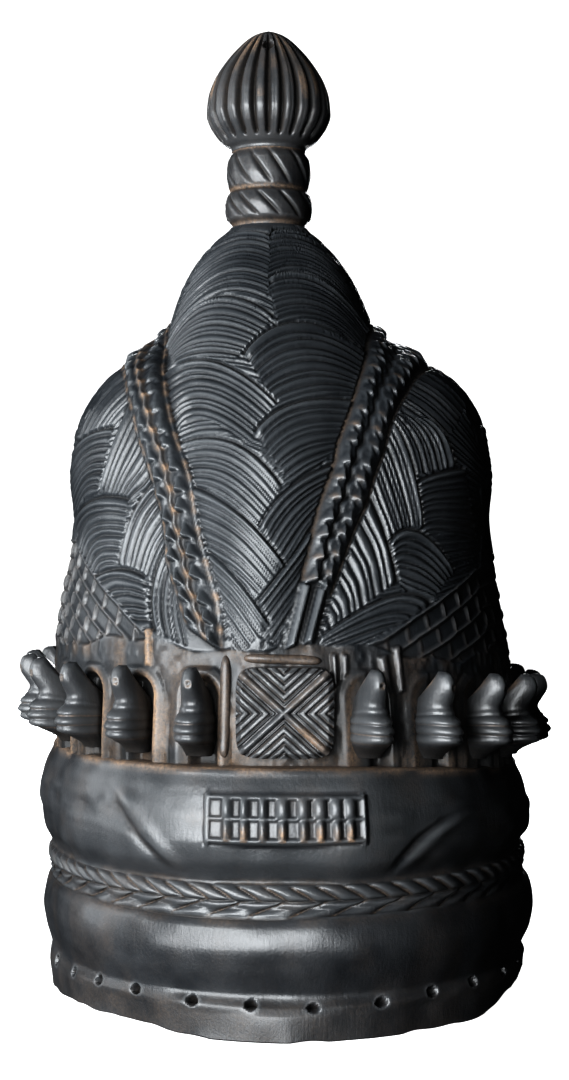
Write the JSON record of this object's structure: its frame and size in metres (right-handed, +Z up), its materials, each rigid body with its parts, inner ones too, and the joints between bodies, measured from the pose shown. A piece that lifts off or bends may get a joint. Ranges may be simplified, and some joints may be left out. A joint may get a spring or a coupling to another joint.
{
  "type": "carved wooden helmet mask headdress",
  "caption": "Hollow carved wooden helmet mask with neck rings, bound horns, a crested plaited hairdress, a calm face and a fluted finial.",
  "frame": {"origin": "centre of the mask's plan box, on the plane its rim stands on", "axes": "+Z up through the finial, +Y the way the carved face looks, +X the wearer's right when seen from above with the face ahead"},
  "size_m": [0.2334, 0.2498, 0.42],
  "materials": {
    "blackened_wood": "stained near-black and rubbed to a satin shine, with pale brown dust left in the cuts"
  },
  "bodies": {
    "root": {"helmet_mask": "blackened_wood"}
  },
  "joints": []
}
